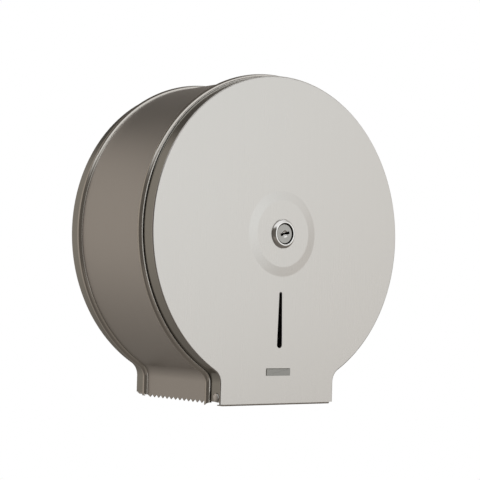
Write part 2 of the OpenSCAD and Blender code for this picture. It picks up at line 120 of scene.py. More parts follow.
class Finish:
    """A material that is being put together, node by node, or the light of a world."""

    def __init__(self, name, world=None):
        self.material = world or bpy.data.materials.new(name)
        self.material.use_nodes = True
        self.tree = self.material.node_tree
        self.tree.nodes.clear()

    def node(self, kind, settings=None, inputs=None, output=0):
        made = self.tree.nodes.new(kind)
        for key, value in (settings or {}).items():
            setattr(made, key, value)
        for key, value in (inputs or {}).items():
            socket = made.inputs[key]
            if isinstance(value, Wire):
                self.tree.links.new(value.socket, socket)
            else:
                socket.default_value = value
        return Wire(self, made.outputs[output]) if made.outputs else None

    def place(self):
        """The point on the piece, in metres."""
        return self.node("ShaderNodeTexCoord", output="Object")

    def along_sheet(self):
        """The point on a rolled sheet: its length, then its width, in metres."""
        return self.node("ShaderNodeUVMap", {"uv_map": "sheet"})

    def axis(self, vector, index):
        """One coordinate of a vector: 0 is x, 1 is y and 2 is z."""
        return self.node("ShaderNodeSeparateXYZ", None, {0: vector}, output=index)

    def from_axis(self, vector):
        """Distance from the spindle's axis, in metres."""
        return self.node("ShaderNodeVectorMath", {"operation": "LENGTH"},
                         {0: self.stretched(vector, (1, 0, 1))}, output=1)

    def stretched(self, vector, factors):
        return self.node("ShaderNodeVectorMath", {"operation": "MULTIPLY"}, {0: vector, 1: factors})

    def noise(self, vector, scale, detail=2.0, roughness=0.5):
        return self.node(
            "ShaderNodeTexNoise",
            None,
            {"Vector": vector, "Scale": scale, "Detail": detail, "Roughness": roughness},
        )

    def blend(self, factor, first, second):
        """The first colour where the factor is 0, and the second where it is 1."""
        ends = {key: (*colour, 1) if isinstance(colour, tuple) else colour
                for key, colour in ((6, first), (7, second))}
        return self.node("ShaderNodeMix", {"data_type": "RGBA"}, {0: factor, **ends}, output=2)

    def bump(self, height, distance, strength):
        return self.node("ShaderNodeBump", None,
                         {"Height": height, "Distance": distance, "Strength": strength})

    def surface(self, **inputs):
        """Ends the finish in a Principled surface and gives its material."""
        sockets = {key.replace("_", " ").title().replace("Ior", "IOR"): value
                   for key, value in inputs.items()}
        shader = self.node("ShaderNodeBsdfPrincipled", None, sockets)
        self.node("ShaderNodeOutputMaterial", None, {"Surface": shader})
        return self.material


LIGHT_SATIN, DARK_SATIN, SCUFFED = (0.635, 0.615, 0.59), (0.555, 0.538, 0.515), (0.68, 0.665, 0.645)
SCUFF_SHARE = 0.25

# Where the trays' flat faces turn into their skirts, and the beads of the band, as y in metres.
FRONT_BEND, REAR_BEND = (-0.1224, -0.122), (-0.0018, -0.0012)
REAR_BEAD, FRONT_BEAD, BEAD_EDGE = (-0.0196, -0.0115), (-0.1106, -0.103), 0.001


def brushed_steel(name):
    """Satin sheet with fine upright brush lines. Its skirts are smoother, and darker by painted shade."""
    finish = Finish(name)
    where = finish.place()
    hairs = finish.noise(finish.stretched(where, (2600, 2600, 12)), 1.0, 3.0, 0.65)
    bands = finish.noise(finish.stretched(where, (420, 420, 4)), 1.0, 2.0, 0.55)
    clouds = finish.noise(where, 11.0, 3.0, 0.55)
    marks = finish.noise(finish.stretched(where, (300, 300, 60)), 1.0, 5.0, 0.7)
    scuffs = marks.above(0.66, 0.74) * clouds.above(0.5, 0.62)
    depth = finish.axis(where, 1)
    drawn = depth.above(*FRONT_BEND) - depth.above(*REAR_BEND)
    colour = finish.blend(hairs * 0.35 + bands * 0.2 + clouds * 0.45, DARK_SATIN, LIGHT_SATIN)
    colour = finish.blend(scuffs * SCUFF_SHARE, colour, SCUFFED)
    # Painted shade: the skirts, where drawn is 1, are given a darker colour here.
    colour = finish.blend(drawn * (0.88 + (clouds - 0.5) * 0.24), colour, (0.365, 0.365, 0.338))
    roughness = (0.3 - drawn * 0.15 + (hairs - 0.5) * 0.12 + (bands - 0.5) * 0.05 + (clouds - 0.5) * 0.08
                 + scuffs * 0.05)
    normal = finish.bump(hairs * 0.85 + bands * 0.15, 0.00001, 0.2)
    return finish.surface(base_color=colour, metallic=1.0, roughness=roughness, normal=normal)


def rolled_steel(name):
    """Satin strip with its brush lines along it, rubbed smooth where the rollers raised the beads."""
    finish = Finish(name)
    where = finish.along_sheet()
    hairs = finish.noise(finish.stretched(where, (12, 2600, 1)), 1.0, 3.0, 0.65)
    bands = finish.noise(finish.stretched(where, (4, 420, 1)), 1.0, 2.0, 0.55)
    clouds = finish.noise(finish.place(), 11.0, 3.0, 0.55)
    marks = finish.noise(finish.stretched(where, (300, 300, 1)), 1.0, 5.0, 0.7)
    scuffs = marks.above(0.66, 0.74) * clouds.above(0.5, 0.62)
    depth = finish.axis(finish.place(), 1)
    bead = depth.between(*REAR_BEAD, BEAD_EDGE) + depth.between(*FRONT_BEAD, BEAD_EDGE)
    colour = finish.blend(hairs * 0.45 + bands * 0.2 + clouds * 0.35, DARK_SATIN, LIGHT_SATIN)
    colour = finish.blend(scuffs * SCUFF_SHARE, colour, SCUFFED)
    # Painted reflection: the beads get a warmer tint that stands in for the warm tone of their highlights.
    colour = finish.blend(bead * 0.6, colour, (0.63, 0.595, 0.54))
    roughness = (0.4 - bead * 0.23 + (hairs - 0.5) * 0.12 + (bands - 0.5) * 0.05 + (clouds - 0.5) * 0.08
                 + scuffs * 0.05)
    normal = finish.bump(hairs * 0.85 + bands * 0.15, 0.00001, 0.2)
    return finish.surface(base_color=colour, metallic=1.0, roughness=roughness, normal=normal)


def machined_steel(name, lines=(60, 2400, 60), light=(0.66, 0.655, 0.64), dark=(0.52, 0.515, 0.5),
                   rough=0.26):
    """Bright steel with tool marks across the directions in which lines is high."""
    finish = Finish(name)
    where = finish.place()
    marks = finish.noise(finish.stretched(where, lines), 1.0, 3.0, 0.6)
    clouds = finish.noise(where, 60.0, 3.0, 0.6)
    specks = finish.noise(where, 900.0, 2.0, 0.5)
    stains = clouds.above(0.52, 0.7)
    colour = finish.blend(marks * 0.6 + clouds * 0.4, dark, light)
    colour = finish.blend(stains * 0.35, colour, (0.42, 0.405, 0.38))
    roughness = rough + (marks - 0.5) * 0.14 + stains * 0.12 + (specks - 0.5) * 0.05
    normal = finish.bump(marks * 0.7 + specks * 0.3, 0.00003, 0.4)
    return finish.surface(base_color=colour, metallic=1.0, roughness=roughness, normal=normal)


def plated_chrome(name):
    """Worn plating with hair scratches, a faint haze from handling, and painted shadow inside the rim,
    where the bore is near black and dull.
    """
    finish = Finish(name)
    where = finish.place()
    haze = finish.noise(where, 140.0, 3.0, 0.6)
    scratches = finish.noise(finish.stretched(where, (5200, 900, 700)), 1.0, 4.0, 0.75)
    hairs = scratches.above(0.6, 0.72)
    depth, radius = finish.axis(where, 1), finish.from_axis(where)
    inside_rim = 1 - radius.above(0.0089, 0.0091)
    # Painted shadow: the bore inside the rim is painted near black.
    painted_rim_shadow = inside_rim * depth.above(-0.1274, -0.1271)
    colour = finish.blend(haze, (0.72, 0.71, 0.695), (0.82, 0.81, 0.795))
    colour = finish.blend(painted_rim_shadow, colour, (0.05, 0.048, 0.045))
    roughness = 0.14 + haze.above(0.45, 0.7) * 0.08 + hairs * 0.1 + painted_rim_shadow * 0.4
    normal = finish.bump(hairs * 0.5 + haze * 0.5, 0.00001, 0.4)
    return finish.surface(base_color=colour, metallic=1.0, roughness=roughness, normal=normal)


def plug_metal(name):
    """Satin plug face, with painted shade in its keyway and in the groove round it, and a painted
    highlight in the dish round the keyway.
    """
    finish = Finish(name)
    where = finish.place()
    depth, radius = finish.axis(where, 1), finish.from_axis(where)
    groove = radius.above(0.0079, 0.0081) * depth.above(-0.12625, -0.1262)
    # Painted shade: behind takes in the keyway's depth and the groove, which are painted near black below.
    behind = depth.above(-0.1259, -0.1255) + groove
    turned = finish.noise(where, 700.0, 3.0, 0.6)
    worn = finish.noise(where, 160.0, 3.0, 0.6)
    colour = finish.blend(turned * 0.5 + worn * 0.5, (0.31, 0.303, 0.29), (0.41, 0.402, 0.385))
    # Painted highlight: the dish round the keyway is given a much lighter colour.
    dish = (1 - radius.above(0.0031, 0.0034)) * depth.above(-0.127, -0.1269)
    colour = finish.blend(dish, colour, (0.85, 0.84, 0.82))
    colour = finish.blend(behind, colour, (0.035, 0.033, 0.03))
    roughness = 0.24 + (turned - 0.5) * 0.12 + behind * 0.35
    normal = finish.bump(turned * 0.6 + worn * 0.4, 0.00002, 0.5)
    return finish.surface(base_color=colour, metallic=1.0, roughness=roughness, normal=normal)


def grey_plate(name):
    """Bare plate with a dull grey face, a little rubbed, inside a darker raised frame."""
    finish = Finish(name)
    where = finish.place()
    grain = finish.noise(finish.stretched(where, (30, 900, 2600)), 1.0, 3.0, 0.6)
    rubbed = finish.noise(where, 260.0, 4.0, 0.65)
    raised = 1 - finish.axis(where, 1).above(-0.12376, -0.12371)
    colour = finish.blend(grain * 0.4 + rubbed * 0.6, (0.27, 0.265, 0.25), (0.35, 0.345, 0.33))
    colour = finish.blend(raised, colour, (0.22, 0.216, 0.2))
    roughness = 0.36 + (grain - 0.5) * 0.14 + (rubbed - 0.5) * 0.1
    normal = finish.bump(grain, 0.00002, 0.4)
    return finish.surface(base_color=colour, metallic=1.0, roughness=roughness, normal=normal)


def moulded_plastic(name, light, dark, rough=0.45, grain=1500.0):
    """Moulded plastic with a fine spark-eroded grain, flow clouds and rubbed patches."""
    finish = Finish(name)
    where = finish.place()
    pores = finish.noise(where, grain, 2.0, 0.6)
    flow = finish.noise(finish.stretched(where, (30, 90, 30)), 1.0, 3.0, 0.55)
    rubbed = finish.noise(where, 75.0, 4.0, 0.65).above(0.55, 0.7)
    colour = finish.blend(flow * 0.7 + pores * 0.3, dark, light)
    roughness = rough + (pores - 0.5) * 0.12 + (flow - 0.5) * 0.1 - rubbed * 0.12
    normal = finish.bump(pores * 0.8 + flow * 0.2, 0.00004, 0.5)
    return finish.surface(base_color=colour, roughness=roughness, normal=normal, ior=1.5)


def cut_brass(name):
    """Brass with turning marks and darker, duller patches where it has aged."""
    finish = Finish(name)
    where = finish.place()
    marks = finish.noise(finish.stretched(where, (90, 2600, 90)), 1.0, 3.0, 0.6)
    age = finish.noise(where, 120.0, 4.0, 0.6).above(0.42, 0.68)
    colour = finish.blend(marks, (0.58, 0.42, 0.19), (0.74, 0.57, 0.3))
    colour = finish.blend(age * 0.6, colour, (0.36, 0.25, 0.12))
    roughness = 0.24 + age * 0.22 + (marks - 0.5) * 0.1
    normal = finish.bump(marks, 0.00003, 0.4)
    return finish.surface(base_color=colour, metallic=1.0, roughness=roughness, normal=normal)


# Mesh tools.


def verts_in(parts):
    return [part for part in parts if isinstance(part, bmesh.types.BMVert)]


def edges_in(parts):
    return [part for part in parts if isinstance(part, bmesh.types.BMEdge)]


def placed(shape, name, node, material):
    """Turns a finished bmesh into the piece that stands for a CAD node."""
    mesh = bpy.data.meshes.new(name)
    shape.to_mesh(mesh)
    shape.free()
    piece = bpy.data.objects.new(name, mesh)
    bpy.context.scene.collection.objects.link(piece)
    mesh.materials.append(material)
    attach(piece, frame["nodes"][node]["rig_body"])
    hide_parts(node)
    return piece


def settled(piece, crease=20):
    """Takes a piece's modifiers into its mesh, and rounds the shading up to an angle in degrees.

    At 20 the eased edges stay crisp, so that they don't bend the shading of the flat faces beside
    them."""
    graph = bpy.context.evaluated_depsgraph_get()
    mesh = bpy.data.meshes.new_from_object(piece.evaluated_get(graph))
    piece.modifiers.clear()
    piece.data = mesh
    mesh.shade_smooth()
    mesh.set_sharp_from_angle(angle=math.radians(crease))
    return piece


def eased(piece, width):
    """Rounds a piece's sharp edges."""
    bevel = piece.modifiers.new("eased edges", "BEVEL")
    bevel.width = width
    bevel.segments = 2
    bevel.limit_method = "ANGLE"
    bevel.angle_limit = math.radians(35)
    return piece


def thickened(piece):
    """Gives a sheet its thickness, inwards from its outer face."""
    wall = piece.modifiers.new("sheet", "SOLIDIFY")
    wall.thickness = PLATE
    wall.offset = -1
    wall.use_even_offset = True
    return piece


def node_copy(name):
    """A CAD node's own shape, with its loose triangles joined and its flat faces whole."""
    shape = bmesh.new()
    shape.from_mesh(frame["nodes"][name].data)
    bmesh.ops.remove_doubles(shape, verts=shape.verts[:], dist=TOUCHING)
    bmesh.ops.dissolve_limit(shape, angle_limit=math.radians(1), verts=shape.verts[:],
                             edges=shape.edges[:])
    return shape


def turned(section, steps=96):
    """Spins a closed section round the spindle's axis. A point is its radius and its distance from
    the wall, in mm."""
    shape = bmesh.new()
    line = [shape.verts.new((r * MM, -d * MM, 0)) for r, d in section]
    for first, second in zip(line, line[1:] + line[:1]):
        shape.edges.new((first, second))
    bmesh.ops.spin(shape, geom=shape.verts[:] + shape.edges[:], cent=(0, 0, 0), axis=(0, 1, 0),
                   angle=2 * math.pi, steps=steps, use_merge=True)
    bmesh.ops.remove_doubles(shape, verts=shape.verts[:], dist=TOUCHING)
    bmesh.ops.recalc_face_normals(shape, faces=shape.faces[:])
    return shape


def finished(node, material, shape=None, title=None, edge=0.15, crease=20):
    """Puts a piece in a CAD node's place, with its sharp edges broken by edge, in mm.

    It is the node's own shape, or the fuller one that is given."""
    piece = placed(node_copy(node) if shape is None else shape, title or "deburred_" + node, node,
                   material)
    return settled(eased(piece, edge * MM), crease)


def arc(centre, radius, start, end, steps):
    """Points on an arc, as pairs, with angles in degrees."""
    turns = [math.radians(start + (end - start) * i / steps) for i in range(steps + 1)]
    return [(centre[0] + radius * math.cos(t), centre[1] + radius * math.sin(t)) for t in turns]


def height_on(line, at):
    """Height at a place on a line of (place, height) pairs."""
    for (first, low), (second, high) in zip(line, line[1:]):
        if first <= at <= second and second > first:
            return low + (high - low) * (at - first) / (second - first)
    return line[0][1] if at < line[0][0] else line[-1][1]


def drawn_on(shape, edges):
    """Extrudes a row of edges, and gives the new row and its points, still in the old row's place."""
    grown = bmesh.ops.extrude_edge_only(shape, edges=edges)["geom"]
    verts = verts_in(grown)
    return [edge for edge in edges_in(grown) if set(edge.verts) <= set(verts)], verts


def sheet_round_outline(section, end_line, disc_steps):
    """Sweeps an open section round half the disc, one hollow corner and one side of the neck.

    A section's point is its distance outside the outline and its distance from the wall, in mm.
    end_line is the sheet's lower edge: distance from the wall and height, in mm."""
    shape = bmesh.new()
    across = shape.verts.layers.float.new("across")
    line, width = [], 0.0
    for i, (n, d) in enumerate(section):
        line.append(shape.verts.new((0, -d * MM, DISC_R + n * MM)))
        if i:
            width += (line[i].co - line[i - 1].co).length
            shape.edges.new((line[i - 1], line[i]))
        line[i][across] = width
    swept = bmesh.ops.spin(shape, geom=shape.verts[:] + shape.edges[:], cent=(0, 0, 0), axis=(0, 1, 0),
                           angle=DISC_TURN, steps=disc_steps)["geom_last"]
    swept = bmesh.ops.spin(shape, geom=swept, cent=HOLLOW, axis=(0, -1, 0),
                           angle=HOLLOW_TURN, steps=18)["geom_last"]
    edges = edges_in(swept)
    for share in (0.5, 1):
        edges, ends = drawn_on(shape, edges)
        for vert in ends:
            vert.co.z = HOLLOW.z + share * (height_on(end_line, -vert.co.y / MM) * MM - HOLLOW.z)
    return shape, edges


def cut_teeth(shape, edges, end_line):
    """Gives the flat middle of a strip's lower edge every point of its line of teeth."""
    widest = max(edges, key=lambda edge: edge.calc_length())
    near, far = sorted(-vert.co.y / MM for vert in widest.verts)
    inner = [point for point in end_line if near + 0.01 < point[0] < far - 0.01]
    made = bmesh.ops.subdivide_edges(shape, edges=[widest], cuts=len(inner))["geom_inner"]
    for vert, (d, z) in zip(sorted(verts_in(made), key=lambda v: -v.co.y), inner):
        vert.co.y, vert.co.z = -d * MM, z * MM


def both_halves(shape):
    """Mirrors half a sheet to the other side and turns all its faces outwards."""
    bmesh.ops.mirror(shape, geom=shape.verts[:] + shape.edges[:] + shape.faces[:], axis="X",
                     merge_dist=TOUCHING)
    outwards(shape)


def outwards(shape):
    """Turns a sheet's faces so that the one at its top looks up."""
    bmesh.ops.recalc_face_normals(shape, faces=shape.faces[:])
    top = max(shape.faces, key=lambda face: face.calc_center_median().z)
    if top.normal.z < 0:
        bmesh.ops.reverse_faces(shape, faces=shape.faces[:])


def length_along(x, z):
    """Length of the outline from the top to a point near it, to the right or, negative, the left."""
    turn = math.atan2(abs(x), z)
    if turn <= DISC_TURN:
        length = DISC_R * turn
    elif z > HOLLOW.z:
        left = math.atan2(z - HOLLOW.z, HOLLOW.x - abs(x))
        length = DISC_R * DISC_TURN + HOLLOW_R * (HOLLOW_TURN - left)
    else:
        length = DISC_R * DISC_TURN + HOLLOW_R * HOLLOW_TURN + HOLLOW.z - z
    return math.copysign(length, x)


def map_sheet(shape):
    """Maps a rolled strip by its length and width, so that its brush lines follow it."""
    across = shape.verts.layers.float["across"]
    chart = shape.loops.layers.uv.new("sheet")
    for face in shape.faces:
        side = face.calc_center_median().x
        for loop in face.loops:
            x, _, z = loop.vert.co
            loop[chart].uv = (length_along(math.copysign(x, side), z), loop.vert[across])


def hole(shape, radius, x, z, d, segments=48):
    """A round opening in a plate at distance d from the wall, as a loop of edges."""
    upright = Matrix.Translation((x, -d, z)) @ Matrix.Rotation(math.pi / 2, 4, "X")
    verts = bmesh.ops.create_circle(shape, segments=segments, radius=radius, matrix=upright)["verts"]
    return list(dict.fromkeys(edge for vert in verts for edge in vert.link_edges))


def flange(shape, d, end_z, bend_r, depth, towards):
    """Bends a strip down out of a plate under the neck, and gives the plate's edges there.

    d is the plate's distance from the wall, and towards is 1 where the strip runs to the wall."""
    above_bend, past_bend = 0.4 * MM, 0.3 * MM
    inner = shape.edges.new([shape.verts.new((x, -d, end_z + above_bend))
                             for x in (-FLANGE_HALF, FLANGE_HALF)])
    edges, lower = drawn_on(shape, [inner])
    bmesh.ops.translate(shape, verts=lower, vec=(0, 0, -above_bend))
    sides = [edge for vert in lower for edge in vert.link_edges if edge not in edges]
    bent = bmesh.ops.spin(shape, geom=[*lower, *edges], cent=(0, -d + towards * bend_r, end_z),
                          axis=(towards, 0, 0), angle=math.pi / 2, steps=8)["geom_last"]
    edges = edges_in(bent)
    for step in (past_bend, depth - bend_r - past_bend):
        edges, verts = drawn_on(shape, edges)
        bmesh.ops.translate(shape, verts=verts, vec=(0, towards * step, 0))
    return [inner, *sides], lower


def fill_plate(shape, d, loops, flange_edges, flange_ends):
    """Closes a tray's plate between its bent rim, its flange and the openings in loops."""
    rim = [edge for edge in shape.edges if len(edge.link_faces) == 1
           and all(abs(vert.co.y + d) < TOUCHING for vert in edge.verts)
           and edge not in flange_edges and edge not in loops]
    ends = {}
    for vert in {v for edge in rim for v in edge.verts}:
        if sum(edge in rim for edge in vert.link_edges) == 1:
            ends[vert.co.x > 0] = vert
    joins = [shape.edges.new((vert, ends[vert.co.x > 0])) for vert in flange_ends]
    bmesh.ops.triangle_fill(shape, use_beauty=True, use_dissolve=False,
                            edges=rim + joins + list(flange_edges) + list(loops))


# Side band: rolled strip with a collar, a half-round bead, the wall, a bead and a collar. The
# sections and edges of the sheets are in mm.

BAND_N, REAR_COLLAR_N, FRONT_COLLAR_N = -0.6, -1.7, -1.4
BEAD_R, BEAD_FOOT_R = 3.2, 0.45
TOOTH_TIP, TOOTH_GULLET = -143.5, -141.3
TOOTH_H, GULLET_R = 2.2, 1.0
TEETH_FROM, TEETH_TO, TEETH = 22.7, 103.6, 13

# The band's front edge steps back beside the neck: below a height, it ends at a distance.
NECK_STEPS = ((-98, 112.6), (-126.4, 110.2))


def bead_foot(n, d, sheet_n, side):
    """Centre and slope, in degrees, of the foot between a bead and the sheet on one side of it."""
    reach = BEAD_R + BEAD_FOOT_R
    slope = math.asin((sheet_n + BEAD_FOOT_R - n) / reach)
    return (sheet_n + BEAD_FOOT_R, d + side * reach * math.cos(slope)), math.degrees(slope)


def bead_bump(n, d, rear_n, front_n):
    """Section of a bead with small rounded feet, from the sheet behind it to the sheet before it."""
    rear_centre, rear_slope = bead_foot(n, d, rear_n, -1)
    front_centre, front_slope = bead_foot(n, d, front_n, 1)
    rear_foot = arc(rear_centre, BEAD_FOOT_R, 180, 90 + rear_slope, 5)
    front_foot = arc(front_centre, BEAD_FOOT_R, 270 - front_slope, 180, 5)
    dome = arc((n, d), BEAD_R, -90 + rear_slope, 90 - front_slope, 14)
    return rear_foot + dome[1:-1] + front_foot


def tooth_gap(centre, top, pitch):
    """Edge of one gap between two teeth: the round top between its two straight sides."""
    far = math.hypot(pitch / 2, TOOTH_H - GULLET_R)
    touch = math.degrees(math.atan2(GULLET_R - TOOTH_H, pitch / 2) + math.acos(GULLET_R / far))
    return arc((centre, top - GULLET_R), GULLET_R, 180 - touch, touch, 6)


def band_end():
    """Lower edge of the side band, from the wall to the front."""
    pitch = (TEETH_TO - TEETH_FROM) / TEETH
    line = [(0, -141.2), (9.9, -141.2), (11.9, -143.3), *tooth_gap(17.3, -141.1, 10.8),
            (TEETH_FROM, TOOTH_TIP)]
    for i in range(TEETH):
        line += [*tooth_gap(TEETH_FROM + (i + 0.5) * pitch, TOOTH_GULLET, pitch),
                 (TEETH_FROM + (i + 1) * pitch, TOOTH_TIP)]
    return line + [(105.6, -144.5), (111.6, -141.65), (119.5, -141.65)]


def side_band():
    end_line = band_end()
    section = [(REAR_COLLAR_N, 2.1), (REAR_COLLAR_N, 9.0)]
    section += bead_bump(-1.0, 15.7, REAR_COLLAR_N, BAND_N)
    section += bead_bump(-0.1, 106.9, BAND_N, FRONT_COLLAR_N)
    section += [(FRONT_COLLAR_N, 112.6), (FRONT_COLLAR_N, 119.5)]
    shape, edges = sheet_round_outline(section, end_line, disc_steps=120)
    cut_teeth(shape, edges, end_line)
    both_halves(shape)
    map_sheet(shape)
    spare = []
    for face in shape.faces:
        centre = face.calc_center_median() / MM
        if any(centre.z < below and -centre.y > end_d for below, end_d in NECK_STEPS):
            spare.append(face)
    bmesh.ops.delete(shape, geom=spare, context="FACES")
    piece = placed(shape, "rolled_side_band", "side_band", STRIP)
    return settled(eased(thickened(piece), 0.1 * MM))


# Front cover: pressed tray with the raised pad and the level slot.

# Lower edge of its skirt, with a corner of 2 mm at the skirt's open end.
COVER_END = [(111.2, -139.35)]
COVER_END += [(d, -139.35 - math.sqrt(2 ** 2 - (113.2 - d) ** 2)) for d in (111.47, 112.2, 113.2)]
COVER_END += [(122.0, -141.35), (122.3, -143.2), (FACE_D, -143.2)]

# The raised pad's slope, from its outer edge inwards: radius and distance from the wall.
PAD_R = 37
PAD_SLOPE = [(36.6, FACE_D), (36.3, 123.42), (36.0, 123.455), (35.6, 123.51), (32.3, 123.95),
             (29.0, 124.39), (28.6, 124.445), (28.3, 124.48), (28, 124.5)]


def level_slot(shape):
    """The slot's edge: a circle whose lower half is moved down and widened."""
    top_r, bottom_r, top_z, bottom_z = 1.55 * MM, 2.8 * MM, -50.85 * MM, -94.0 * MM
    edges = hole(shape, top_r, 0, top_z, FACE_D * MM, segments=40)
    for vert in {v for edge in edges for v in edge.verts}:
        if vert.co.z < top_z - 1e-7:
            vert.co.x *= bottom_r / top_r
            vert.co.z = bottom_z + (vert.co.z - top_z) * bottom_r / top_r
    return edges


def raised_pad(shape):
    """Pad round the lock, raised on a straight slope with eased ends. Gives its outer edge."""
    rim = hole(shape, PAD_R * MM, 0, 0, FACE_D * MM, segments=120)
    edges, ring_r, ring_d = rim, PAD_R, FACE_D
    for r, d in PAD_SLOPE + [(27.6, 124.5), (10.0, 124.5), (9.7, 124.5)]:
        edges, verts = drawn_on(shape, edges)
        bmesh.ops.scale(shape, verts=verts, vec=(r / ring_r, 1, r / ring_r))
        bmesh.ops.translate(shape, verts=verts, vec=(0, (ring_d - d) * MM, 0))
        ring_r, ring_d = r, d
    return rim


def front_cover():
    section = [(0, 111.2), (0, 111.47), (0, 112.2), (0, 113.2), (0, 122.0)]
    section += arc((-1.1, 122.3), 1.1, 0, 90, 8) + [(-1.4, FACE_D)]
    shape, _ = sheet_round_outline(section, COVER_END, disc_steps=120)
    both_halves(shape)
    flange_edges, flange_ends = flange(shape, FACE_D * MM, -143.2 * MM, 1.5 * MM, 8.8 * MM, 1)
    openings = level_slot(shape) + raised_pad(shape)
    fill_plate(shape, FACE_D * MM, openings, flange_edges, flange_ends)
    outwards(shape)
    piece = placed(shape, "pressed_front_cover", "front_cover", SHEET)
    return settled(eased(thickened(piece), 0.12 * MM))


# Rear casing: pressed tray against the wall, with the wall holes and the holes of the spindle's rivets.

CASING_END = [(0, -140.2), (2, -140.2), (2.3, -140.3), (12.3, -140.3)]
WALL_HOLE_AT, WALL_HOLE_R = 60 * MM, 3 * MM
RIVET_RING_R, RIVET_HOLE_R = 27.5 * MM, 2 * MM


def rear_casing():
    section = [(-0.9, 12.3), (-0.9, 2.3)] + arc((-2.9, 2.0), 2.0, 0, -90, 8) + [(-3.3, 0)]
    shape, _ = sheet_round_outline(section, CASING_END, disc_steps=96)
    both_halves(shape)
    flange_edges, flange_ends = flange(shape, 0, -140.2 * MM, 2 * MM, 12.3 * MM, -1)
    openings = []
    for x in (-WALL_HOLE_AT, WALL_HOLE_AT):
        for z in (-WALL_HOLE_AT, WALL_HOLE_AT):
            openings += hole(shape, WALL_HOLE_R, x, z, 0)
    for turn in (45, 135, 225, 315):
        x, z = (RIVET_RING_R * f(math.radians(turn)) for f in (math.cos, math.sin))
        openings += hole(shape, RIVET_HOLE_R, x, z, 0, segments=32)
    fill_plate(shape, 0, openings, flange_edges, flange_ends)
    outwards(shape)
    piece = placed(shape, "pressed_rear_casing", "rear_casing", SHEET)
    return settled(eased(thickened(piece), 0.12 * MM))


# Lock. Its sections, like those of all turned pieces, are pairs of radius and distance from the wall,
# in mm.

THREAD_TURNS = 12


def lock_barrel():
    """Barrel with a chamfered rear end, thread rings, and the bezel with its narrow rim."""
    section = [(6.55, 105.5), (9.0, 105.5), (9.5, 106.0)]
    for turn in range(THREAD_TURNS):
        section += [(9.5, 107 + turn), (9.05, 107.35 + turn), (9.05, 107.5 + turn), (9.5, 107.85 + turn)]
    section += [(9.5, 124.5), (12.2, 124.5), (12.4, 124.65), (12.4, 125.2)]
    section += [(12.4 - 1.9 * t, 125.2 + 2.0 * t ** 0.75) for t in (0.1, 0.25, 0.4, 0.55, 0.7, 0.85, 1)]
    section += [(10.3, 127.4), (10.0, 127.5), (9.4, 127.5), (9.1, 127.4), (8.9, 127.1), (8.8, 124)]
    section += [(8.45, 123.8), (8.45, 122.5), (6.55, 122.5)]
    return turned(section)


def lock_plug():
    """The plug: a groove round its face, and a dish with sloping sides round its keyway."""
    shape = node_copy("lock_plug")
    bmesh.ops.bisect_plane(shape, geom=shape.verts[:] + shape.edges[:] + shape.faces[:],
                           plane_co=(0, -125.6 * MM, 0), plane_no=(0, 1, 0))
    for vert in shape.verts:
        d, r = -vert.co.y / MM, math.hypot(vert.co.x, vert.co.z) / MM
        if d > 126.9 and r > 8.2:
            new_d, new_r = 126.3, 8.0
        elif d > 125.85 and 1.9 < r < 2.9:
            share = (r - 2) / 0.8
            new_d, new_r = 125.9 + 1.1 * share, 1.6 + 1.7 * share
        else:
            continue
        vert.co = vert.co.x * new_r / r, -new_d * MM, vert.co.z * new_r / r
    return shape


def name_plate():
    """The bare name plate, with its corners cut, sunk inside a narrow frame."""
    shape = bmesh.new()
    place = Matrix.Translation(Vector((-0.7, -123.6, -116.9)) * MM)
    wide, thick, high = 26 * MM, 0.4 * MM, 6.2 * MM
    bmesh.ops.create_cube(shape, size=1, matrix=place @ Matrix.Diagonal((wide, thick, high, 1)))
    corners = [edge for edge in shape.edges
               if abs(edge.verts[0].co.y - edge.verts[1].co.y) > 0.75 * thick]
    bmesh.ops.bevel(shape, geom=corners, offset=0.3 * MM, offset_type="OFFSET", segments=1, profile=0.5,
                    affect="EDGES", material=-1)
    front = min(shape.faces, key=lambda face: face.calc_center_median().y)
    bmesh.ops.inset_region(shape, faces=[front], thickness=0.6 * MM, use_even_offset=True)
    bmesh.ops.translate(shape, verts=front.verts[:], vec=(0, 0.12 * MM, 0))
    return shape


# Hinge and spindle. A hinge rivet's section starts at the lug's inner face, RIVET_FROM beside the
# middle, and its pin lies at PIN_D from the wall and at the height PIN_Z, in mm.

RIVET_FROM, PIN_D, PIN_Z = 59.15, 117.8, -137.7


def hinge_rivet(side):
    """Rivet with a full round head outside the skirt and a flat tail inside the lug. side is 1 or -1."""
    head_r, dome_from, dome_h = 3.75, 2.95, 1.2
    section = [(0, -0.9), (2.7, -0.9), (2.9, -0.7), (2.9, 0), (2, 0)]
    section += [(2, 2.75), (3.55, 2.75), (head_r, 2.9)]
    section += [(head_r * math.cos(math.radians(a)), dome_from + dome_h * math.sin(math.radians(a)))
                for a in (0, 15, 30, 45, 60, 75)]
    shape = turned(section + [(0, dome_from + dome_h)], steps=40)
    turn = Matrix.Rotation(-side * math.pi / 2, 4, "Z") @ Matrix.Rotation(math.pi, 4, "X")
    stand = Matrix.Translation(Vector((side * RIVET_FROM, -PIN_D, PIN_Z)) * MM)
    bmesh.ops.transform(shape, matrix=stand @ turn, verts=shape.verts[:])
    bmesh.ops.recalc_face_normals(shape, faces=shape.faces[:])
    return shape


